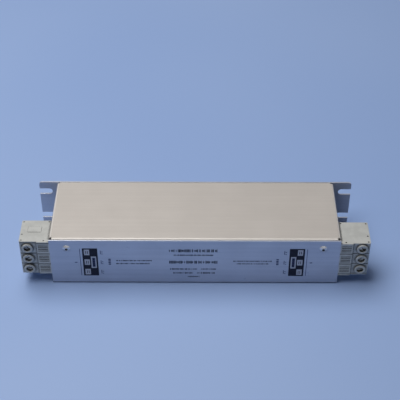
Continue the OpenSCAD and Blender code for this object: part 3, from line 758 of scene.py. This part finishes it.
class FinishBook:
    """Every finish of the filter, by the record's material slot."""

    def __init__(self, board: tuple[Vector, Vector], resistors: tuple[Vector, Vector]) -> None:
        """Builds the finishes.

        Args:
            board: Lowest and highest corner of the circuit board.
            resistors: Lowest and highest corner of the resistors.
        """
        rings = (
            (-3.6, paint(120, 70, 36)), (-1.9, paint(24, 22, 22)),
            (-0.2, paint(200, 160, 40)), (3.6, paint(166, 130, 60)),
        )
        middle = (resistors[0].x + resistors[1].x) / 2
        finishes: tuple[Finish, ...] = (
            SheetFinish(
                "case_steel", paint(176, 180, 192), 0.38,
                tone=paint(188, 191, 202), edge_colour=paint(226, 228, 234), metal=0.85),
            SheetFinish(
                "cover_steel", paint(184, 178, 172), 0.56,
                tone=paint(190, 184, 178), edge_colour=paint(232, 228, 222), metal=0.35, edge_width=0.8 * MM),
            # The rivet's strong, wide, near-black grime is painted shade that darkens its mandrel hole.
            MetalFinish(
                "rivet_alloy", paint(206, 208, 213), 0.26, tarnish=paint(150, 152, 158),
                bright=paint(244, 244, 246), grime_strength=0.97, grime_reach=3.2 * MM),
            PlasticFinish("terminal_plastic", paint(190, 191, 187), 0.48, rubbed=paint(214, 216, 208)),
            MetalFinish(
                "screw_steel", paint(206, 206, 204), 0.42,
                tarnish=paint(150, 150, 152), bright=paint(214, 214, 212)),
            MetalFinish(
                "cage_steel", paint(198, 190, 158), 0.32,
                tarnish=paint(150, 140, 110), bright=paint(226, 220, 200)),
            MetalFinish("bar_copper", paint(206, 146, 104), 0.30, tarnish=paint(140, 92, 66)),
            MetalFinish(
                "stud_steel", paint(186, 186, 182), 0.30,
                tarnish=paint(128, 128, 130), bright=paint(230, 230, 226)),
            FilmFinish("liner_film", paint(214, 210, 192), 0.35),
            LaminateFinish("board_laminate", paint(30, 98, 54), 0.32, top=board[1].z, bottom=board[0].z),
            PlasticFinish("choke_plastic", paint(44, 44, 48), 0.42),
            MetalFinish("core_alloy", paint(96, 96, 102), tarnish=paint(60, 60, 66)),
            MetalFinish("winding_copper", paint(176, 84, 40), 0.28, tarnish=paint(132, 56, 26), coat=0.8),
            PlasticFinish("x_cap_plastic", paint(222, 178, 52), 0.36, tin_below=board[1].z),
            PlasticFinish("y_cap_plastic", paint(48, 86, 150), 0.36, tin_below=board[1].z),
            ResistorFinish("resistor_coat", paint(118, 152, 182), 0.3, middle=middle, rings=rings),
            InkFinish("dark_ink", paint(14, 17, 38), thin=paint(34, 38, 66)),
            InkFinish("grey_ink", paint(52, 60, 96), thin=paint(80, 90, 130)),
            InkFinish("pale_ink", paint(186, 190, 202), thin=paint(150, 156, 176)),
            FloorFinish("table_top", paint(150, 176, 222), 0.42, far=paint(160, 184, 226)),
        )
        effects = Effects()
        self.materials = {finish.name: finish.build(effects) for finish in finishes}
        self.slots = {part["node"]: part["material_slot"] for part in frame["record"]["subparts"]}

    def dress(self, node: str) -> None:
        """Gives a CAD node the finish of its slot.

        Args:
            node: Name of the node.
        """
        piece = frame["nodes"][node]
        material = self.materials[self.slots[node]]
        if not piece.material_slots:
            piece.data.materials.append(material)
        for place in piece.material_slots:
            place.material = material
        LOG.info("dressed %s in %s", node, material.name)


# ---------- modelling by hand ----------


def deselect() -> None:
    """Leaves edit mode and deselects everything."""
    if bpy.context.object and bpy.context.object.mode != "OBJECT":
        bpy.ops.object.mode_set(mode="OBJECT")
    bpy.ops.object.select_all(action="DESELECT")


def settle(piece: Piece, name: str, material: Material) -> Piece:
    """Puts a finished piece's place into its mesh, names it and gives it its finish.

    Args:
        piece: The piece, as it was modelled.
        name: Name of the piece.
        material: Its finish.

    Returns:
        The same piece, at the origin.
    """
    deselect()
    piece.select_set(True)
    bpy.context.view_layer.objects.active = piece
    bpy.ops.object.transform_apply(location=True, rotation=True, scale=True)
    piece.name = name
    piece.data.name = name
    piece.data.materials.clear()
    piece.data.materials.append(material)
    LOG.info("made %s: %d faces", name, len(piece.data.polygons))
    return piece


def apply_modifier(piece: Piece, kind: str, **settings: Any) -> None:
    """Adds a modifier to a piece and applies it.

    Args:
        piece: The piece.
        kind: Type of the modifier.
        **settings: Its settings.
    """
    bpy.context.view_layer.objects.active = piece
    modifier = piece.modifiers.new(kind.lower(), kind)
    for name, value in settings.items():
        setattr(modifier, name, value)
    bpy.ops.object.modifier_apply(modifier=modifier.name)


@dataclass
class PrintLayer:
    """One colour of print: flat plates with rounded corners that stand on the label panel."""

    name: str
    panel_y: float
    lift: float = 0.03 * MM
    sunk: float = 0.01 * MM
    round_r: float = 0.12 * MM
    boxes: list[tuple[float, float, float, float]] = field(default_factory=list)

    def box(self, x: float, z: float, half_w: float, half_h: float) -> None:
        """Notes one box of print round its middle.

        Args:
            x: Middle along X in millimetres.
            z: Middle along Z in millimetres.
            half_w: Half its width in millimetres.
            half_h: Half its height in millimetres.
        """
        self.boxes.append((x * MM, z * MM, half_w * MM, half_h * MM))

    def build(self, material: Material) -> Piece:
        """Models the plates: planes with bevelled corners, drawn out to the ink's thickness.

        Args:
            material: The ink.

        Returns:
            The finished layer.
        """
        deselect()
        mesh = bpy.ops.mesh
        mesh.primitive_plane_add()
        layer = bpy.context.object
        bpy.ops.object.mode_set(mode="EDIT")
        mesh.delete(type="VERT")
        for x, z, half_w, half_h in self.boxes:
            middle = (x, self.panel_y + self.sunk, z)
            mesh.primitive_plane_add(size=1, location=middle)
            bpy.ops.transform.rotate(value=math.pi / 2, orient_axis="X", center_override=middle)
            bpy.ops.transform.resize(value=(2 * half_w, 1, 2 * half_h), center_override=middle)
        mesh.select_all(action="SELECT")
        mesh.bevel(affect="VERTICES", offset=self.round_r, segments=2, clamp_overlap=True)
        mesh.select_all(action="SELECT")
        mesh.extrude_region_move(TRANSFORM_OT_translate={"value": (0, -self.lift - self.sunk, 0)})
        mesh.select_all(action="SELECT")
        mesh.normals_make_consistent(inside=False)
        bpy.ops.object.mode_set(mode="OBJECT")
        return settle(layer, self.name, material)


# ---------- sub-assemblies ----------


@dataclass
class Assembly:
    """CAD nodes that belong together and take their finishes from the book."""

    nodes: tuple[str, ...]

    def build(self, book: FinishBook) -> None:
        """Dresses the nodes.

        Args:
            book: The finishes.
        """
        for node in self.nodes:
            book.dress(node)


@dataclass
class CaseShell(Assembly):
    """The folded case: chassis with its mounting plate, cover and rivets."""

    nodes: tuple[str, ...] = ("chassis", "cover", "cover_rivets")


@dataclass
class FilterBoard(Assembly):
    """What lies inside the case: liner, board, fixings, capacitors and resistors."""

    nodes: tuple[str, ...] = (
        "insulating_liner", "board_standoffs", "circuit_board", "board_screws",
        "x_capacitors_left", "x_capacitors_right", "y_capacitor_left", "y_capacitor_right",
        "discharge_resistors",
    )


@dataclass
class Choke(Assembly):
    """The three-phase choke: base with fins, boxed core and its windings."""

    nodes: tuple[str, ...] = (
        "choke_base", "core_cup", "core_lid", "choke_core", "winding_1", "winding_2", "winding_3")


@dataclass
class TerminalBlock:
    """Three clamp poles at one end, with their screws, cages, bars and closing plate."""

    end: End
    parts: tuple[str, ...] = ("terminal", "clamp_screw", "clamp_cage", "current_bar")

    def build(self, book: FinishBook) -> None:
        """Dresses the block.

        Args:
            book: The finishes.
        """
        for pole in POLES:
            for part in self.parts:
                book.dress(f"{part}_{self.end.word}_{pole}")
        book.dress(f"end_plate_{self.end.word}")


@dataclass
class BlockDiagram:
    """A printed block diagram: a dark field with windows, a phase line and terminal marks.

    Sizes are in millimetres. The terminal side faces the diagram's own end of the filter. A phase
    stroke has how far right and up its middle is, and half its width and height.
    """

    end: End
    middle_x: float
    field_w: float = 11.6
    field_h: float = 28.5
    field_z: float = 22.25
    window_w: float = 4.1
    window_h: float = 5.8
    window_edge: float = 1.3
    window_z: tuple[float, ...] = (32.4, 22.2, 12.1)
    sign_spot: float = 0.325
    sign_half: float = 0.125
    sign_share: float = 0.5
    tall_w: float = 4.0
    tall_h: float = 12.0
    tall_z: float = 22.1
    tall_share: float = 0.55
    tall_inset: float = 1.2
    coil_z: tuple[float, ...] = (-3.0, -1.0, 1.0, 3.0)
    coil_share: float = 0.3
    coil_half: float = 0.5
    line_gap: float = 1.8
    line_half: float = 0.2
    line_inset: float = 0.3
    dash_gap: float = 3.4
    dash_z: float = 22.0
    dash_half: tuple[float, float] = (1.0, 0.4)
    phase_gap: float = 3.0
    phase_strokes: tuple[tuple[float, float, float, float], ...] = (
        (-0.75, 0.0, 0.25, 1.9), (0.4, -1.6, 0.5, 0.3), (0.4, 0.5, 0.5, 0.3))
    steps_gap: float = 8.8
    steps_z: tuple[float, ...] = (20.15, 21.85, 23.55, 25.25)
    step_half: tuple[float, float] = (0.9, 0.55)

    def add_to(self, dark: PrintLayer, grey: PrintLayer, pale: PrintLayer, marks: PrintLayer) -> None:
        """Notes the diagram's boxes on the layers of print.

        Args:
            dark: Layer of the dark field.
            grey: Layer of the lines and fine marks.
            pale: Layer of the pale windows.
            marks: Layer of the dark signs in the windows.
        """
        side = self.end.value
        half = self.field_w / 2
        dark.box(self.middle_x, self.field_z, half, self.field_h / 2)
        outer = self.middle_x + side * (half - self.window_edge - self.window_w / 2)
        inner = self.middle_x - side * (half - self.window_edge - self.tall_w / 2)
        w, h = self.window_w / 2, self.window_h / 2
        for z in self.window_z:
            pale.box(outer, z, w, h)
            for way in (-1, 1):
                marks.box(outer + way * w * self.sign_spot, z, w * self.sign_half, h * self.sign_share)
        w, h = self.tall_w / 2, self.tall_h / 2
        pale.box(inner, self.tall_z, w, h)
        grey.box(inner, self.tall_z, w * self.tall_share, h - self.tall_inset)
        for z in self.coil_z:
            marks.box(inner, self.tall_z + z, w * self.coil_share, self.coil_half)
        line = self.middle_x + side * (half + self.line_gap)
        grey.box(line, self.field_z, self.line_half, self.field_h / 2 - self.line_inset)
        grey.box(line + side * self.dash_gap, self.dash_z, *self.dash_half)
        phase = self.middle_x - side * (half + self.phase_gap)
        for z in self.window_z:
            for right, up, half_w, half_h in self.phase_strokes:
                grey.box(phase + right, z + up, half_w, half_h)
        steps = self.middle_x - side * (half + self.steps_gap)
        for z in self.steps_z:
            grey.box(steps, z, *self.step_half)


@dataclass(frozen=True)
class BarStyle:
    """How wide the bars of a row are, and how far apart its groups stand."""

    least: float
    most: float
    group_gap: float


@dataclass
class LabelPrint:
    """The print on the label panel: two block diagrams and rows of plain bars.

    Sizes are in millimetres, apart from panel_y. A row has its left and right end, the height of
    its middle and the height of its bars.
    """

    panel_y: float
    seed: int = 7
    rows: tuple[tuple[float, float, float, float], ...] = (
        (-19.6, 17.0, 34.3, 3.0), (-16.0, 14.0, 29.7, 1.5), (-19.6, 17.2, 22.4, 3.0),
        (-19.0, 1.9, 15.2, 1.6), (4.7, 16.5, 15.2, 1.6),
        (-16.6, -1.9, 11.0, 1.6), (1.7, 15.8, 11.0, 1.6), (-5.5, 3.6, 7.1, 1.5),
        (-60.0, -32.8, 23.9, 1.3), (-60.0, -34.4, 20.8, 1.3),
        (29.4, 59.2, 23.6, 1.3), (32.0, 57.0, 20.8, 1.3),
    )
    bold_from: float = 2.5
    bold: BarStyle = BarStyle(least=0.5, most=1.0, group_gap=1.0)
    plain: BarStyle = BarStyle(least=0.4, most=0.8, group_gap=0.7)
    bar_shares: tuple[float, ...] = (0.7, 1.0, 1.0)
    bar_gaps: tuple[float, ...] = (0.22, 0.26, 0.3)
    last_bar: float = 0.3
    diagrams: tuple[BlockDiagram, ...] = (
        BlockDiagram(End.LEFT, middle_x=-79.6), BlockDiagram(End.RIGHT, middle_x=77.6))

    def build(self, book: FinishBook) -> None:
        """Prints the panel.

        Args:
            book: The finishes, for its inks.
        """
        dark = PrintLayer("print_dark", self.panel_y)
        grey = PrintLayer("print_bars", self.panel_y, lift=0.06 * MM, round_r=0.06 * MM)
        pale = PrintLayer("print_windows", self.panel_y, lift=0.05 * MM)
        marks = PrintLayer("print_signs", self.panel_y, lift=0.07 * MM, round_r=0.06 * MM)
        for diagram in self.diagrams:
            diagram.add_to(dark, grey, pale, marks)
        self._add_rows(dark)
        for layer, ink in ((dark, "dark_ink"), (grey, "grey_ink"), (pale, "pale_ink"), (marks, "dark_ink")):
            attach(layer.build(book.materials[ink]), BODY)

    def _add_rows(self, layer: PrintLayer) -> None:
        """Notes the rows of bars, whose widths and gaps are drawn at random from a fixed seed.

        Args:
            layer: Layer of the dark print.
        """
        draw = random.Random(self.seed)
        for left, right, z, height in self.rows:
            style = self.bold if height >= self.bold_from else self.plain
            x = left
            while x < right - self.last_bar:
                width = min(draw.uniform(style.least, style.most), right - x)
                half = height * draw.choice(self.bar_shares) / 2
                layer.box(x + width / 2, z, width / 2, half)
                x += width + draw.choice((*self.bar_gaps, style.group_gap))


@dataclass
class EarthStud:
    """A threaded earth stud with its flat head inside the end wall."""

    end: End
    thread_r: float = 2.5 * MM
    root_r: float = 2.08 * MM
    pitch: float = 0.8 * MM
    flank_share: float = 0.34
    flat_share: float = 0.16
    spare_rise: float = 0.02 * MM
    spare_turns: int = 2
    steps_a_turn: int = 28
    head_t: float = 1.0 * MM
    head_r: float = 4.0 * MM
    head_chamfer: float = 0.2 * MM
    head_overlap: float = 0.2 * MM
    wall_t: float = 1.0 * MM
    tip_chamfer: float = 0.5 * MM
    bar_sides: int = 48
    smooth_below: float = math.radians(28)
    chamfer_above: float = math.radians(60)
    merge_below: float = 1e-6

    def build(self, material: Material) -> Piece:
        """Models the stud on the right and turns it round for the left.

        Args:
            material: Its finish.

        Returns:
            The finished stud, riding on the case.
        """
        low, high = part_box("earth_studs")
        tip = high.x
        axis = Vector((0, (low.y + high.y) / 2, (low.z + high.z) / 2))
        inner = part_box("cover")[1].x - self.wall_t
        thread = self._thread(inner, tip)
        blank = self._blank(inner - self.head_overlap, tip, self.thread_r, self.tip_chamfer)
        head = self._blank(inner - self.head_t, inner, self.head_r, self.head_chamfer)
        for shape, operation in ((blank, "INTERSECT"), (head, "UNION")):
            apply_modifier(thread, "BOOLEAN", operation=operation, object=shape, solver="EXACT")
            bpy.data.objects.remove(shape)
        deselect()
        thread.select_set(True)
        if self.end is End.LEFT:
            thread.data.transform(Matrix.Rotation(math.pi, 4, "Z"))
        thread.data.transform(Matrix.Translation(axis))
        bpy.ops.object.shade_smooth_by_angle(angle=self.smooth_below)
        stud = settle(thread, f"earth_stud_{self.end.word}", material)
        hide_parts("earth_studs")
        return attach(stud, BODY)

    def _blank(self, start: float, stop: float, radius: float, chamfer: float) -> Piece:
        """A round bar along X with chamfered ends.

        Args:
            start: Lowest X.
            stop: Highest X.
            radius: Its radius.
            chamfer: Size of the chamfers.

        Returns:
            The bar.
        """
        deselect()
        bpy.ops.mesh.primitive_cylinder_add(
            vertices=self.bar_sides, radius=radius, depth=stop - start,
            location=((start + stop) / 2, 0, 0), rotation=(0, math.pi / 2, 0))
        bar = bpy.context.object
        bpy.ops.object.transform_apply(location=True, rotation=True, scale=True)
        apply_modifier(
            bar, "BEVEL", width=chamfer, segments=1, limit_method="ANGLE", angle_limit=self.chamfer_above)
        return bar

    def _thread(self, start: float, stop: float) -> Piece:
        """A closed screw thread along X, with spare turns at both ends.

        Args:
            start: Where the thread has to begin.
            stop: Where it has to end.

        Returns:
            The threaded bar.
        """
        deselect()
        mesh = bpy.ops.mesh
        first = start - self.spare_turns * self.pitch
        turns = math.ceil((stop - start) / self.pitch) + 2 * self.spare_turns
        mesh.primitive_plane_add()
        thread = bpy.context.object
        bpy.ops.object.mode_set(mode="EDIT")
        mesh.select_mode(type="VERT")
        mesh.select_all(action="SELECT")
        mesh.merge(type="CENTER")
        bpy.ops.transform.translate(value=(first, 0, self.root_r))
        rise = self.thread_r - self.root_r + self.spare_rise
        flank = self.flank_share * self.pitch
        flat = self.flat_share * self.pitch
        for step_x, step_r in ((flat, 0), (flank, rise), (flat, 0), (flank, -rise)):
            mesh.extrude_region_move(TRANSFORM_OT_translate={"value": (step_x, 0, step_r)})
        bpy.ops.object.mode_set(mode="OBJECT")
        apply_modifier(
            thread, "SCREW", axis="X", angle=math.tau, screw_offset=self.pitch, iterations=turns,
            steps=self.steps_a_turn, render_steps=self.steps_a_turn,
            use_merge_vertices=True, merge_threshold=self.merge_below)
        bpy.ops.object.mode_set(mode="EDIT")
        mesh.select_all(action="SELECT")
        mesh.remove_doubles(threshold=self.merge_below)
        mesh.select_all(action="DESELECT")
        mesh.select_mode(type="EDGE")
        mesh.select_non_manifold()
        mesh.fill_holes(sides=0)
        mesh.select_all(action="SELECT")
        mesh.normals_make_consistent(inside=False)
        bpy.ops.object.mode_set(mode="OBJECT")
        return thread


@dataclass
class EarthFixings(Assembly):
    """The earth studs of both ends with their washers and nuts."""

    nodes: tuple[str, ...] = ("earth_studs", "earth_washers", "earth_nuts")

    def build(self, book: FinishBook) -> None:
        """Dresses the nuts and washers and models the threaded studs.

        Args:
            book: The finishes.
        """
        super().build(book)
        for end in End:
            EarthStud(end).build(book.materials["stud_steel"])


# ---------- studio ----------


@dataclass
class Lamp:
    """A soft rectangular lamp that looks at the filter. Its power is in watts."""

    name: str
    place: tuple[float, float, float]
    width: float
    depth: float
    power: float
    colour: tuple[float, float, float]
    aim: tuple[float, float, float] = (0.0, 0.0, 0.02)

    def build(self) -> None:
        """Hangs the lamp."""
        data = bpy.data.lights.new(self.name, "AREA")
        data.shape = "RECTANGLE"
        data.size = self.width
        data.size_y = self.depth
        data.energy = self.power
        data.color = self.colour
        lamp = bpy.data.objects.new(self.name, data)
        bpy.context.scene.collection.objects.link(lamp)
        lamp.location = self.place
        look = Vector(self.aim) - Vector(self.place)
        lamp.rotation_euler = look.to_track_quat("-Z", "Y").to_euler()


@dataclass
class Studio:
    """Floor, lamps, surroundings and camera. Angles are in degrees, the lens in millimetres."""

    floor_half: float = 2.4
    floor_gap: float = 0.02 * MM
    lens: float = 95.3
    sensor: float = 36.0
    aim: tuple[float, float, float] = (3.8 * MM, 64.3 * MM, 0.0)
    distance: float = 898.1 * MM
    elevation: float = 40.52
    azimuth: float = 0.03
    roll: float = 0.18
    lamps: tuple[Lamp, ...] = (
        Lamp(
            "overhead_softbox", (-0.42, 0.13, 1.27), width=1.5, depth=0.8, power=17.6,
            colour=(1.0, 0.985, 0.965)),
        Lamp(
            "front_fill", (0.5, -1.5, 0.9), width=1.2, depth=0.8, power=0.6, colour=(0.93, 0.96, 1.0)),
    )
    surround: Colour = (0.050, 0.060, 0.082, 1.0)
    reflected: Colour = (0.46, 0.46, 0.47, 1.0)

    def build(self, book: FinishBook) -> None:
        """Sets up the whole studio.

        Args:
            book: The finishes, for the table top.
        """
        self._floor(book.materials["table_top"])
        for lamp in self.lamps:
            lamp.build()
        self._world()
        self._camera()
        bpy.context.scene.view_settings.view_transform = "Standard"

    def _floor(self, material: Material) -> None:
        """Lays the floor under the filter.

        Args:
            material: Its finish.
        """
        deselect()
        height = CAD_BOX[0].z - self.floor_gap
        bpy.ops.mesh.primitive_plane_add(size=2 * self.floor_half, location=(0, 0, height))
        floor = settle(bpy.context.object, "floor", material)

    def _world(self) -> None:
        """Gives the surroundings a weak even light, and their own look to the camera and in reflections."""
        world = bpy.data.worlds.new("studio")
        bpy.context.scene.world = world
        world.use_nodes = True
        world.node_tree.nodes.clear()
        sheet = NodeSheet(world.node_tree)
        path = sheet.add("LightPath").outputs
        colour = sheet.blend(path["Is Glossy Ray"], self.surround, self.reflected)
        colour = sheet.blend(path["Is Camera Ray"], colour, BACKDROP)
        sky = sheet.add("Background", {"Color": colour})
        sheet.add("OutputWorld", {"Surface": sky.outputs[0]})

    def _camera(self) -> None:
        """Places the camera by the angles at which it looks down at its aim."""
        data = bpy.data.cameras.new("camera")
        data.lens = self.lens
        data.sensor_width = self.sensor
        camera = bpy.data.objects.new("camera", data)
        bpy.context.scene.collection.objects.link(camera)
        up, turn = math.radians(self.elevation), math.radians(self.azimuth)
        back = Vector((-math.sin(turn) * math.cos(up), -math.cos(turn) * math.cos(up), math.sin(up)))
        camera.location = Vector(self.aim) + self.distance * back
        look = (-back).to_track_quat("-Z", "Y").to_matrix().to_4x4()
        roll = Matrix.Rotation(math.radians(self.roll), 4, "Z")
        camera.rotation_euler = (look @ roll).to_euler()
        bpy.context.scene.camera = camera


def main() -> None:
    """Builds every sub-assembly and the studio."""
    logging.basicConfig(level=logging.INFO, format="%(name)s: %(message)s")
    book = FinishBook(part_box("circuit_board"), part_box("discharge_resistors"))
    CaseShell().build(book)
    LabelPrint(panel_y=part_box("chassis")[0].y).build(book)
    for end in End:
        TerminalBlock(end).build(book)
    EarthFixings().build(book)
    FilterBoard().build(book)
    Choke().build(book)
    Studio().build(book)
    deselect()


if __name__ == "__main__":
    main()
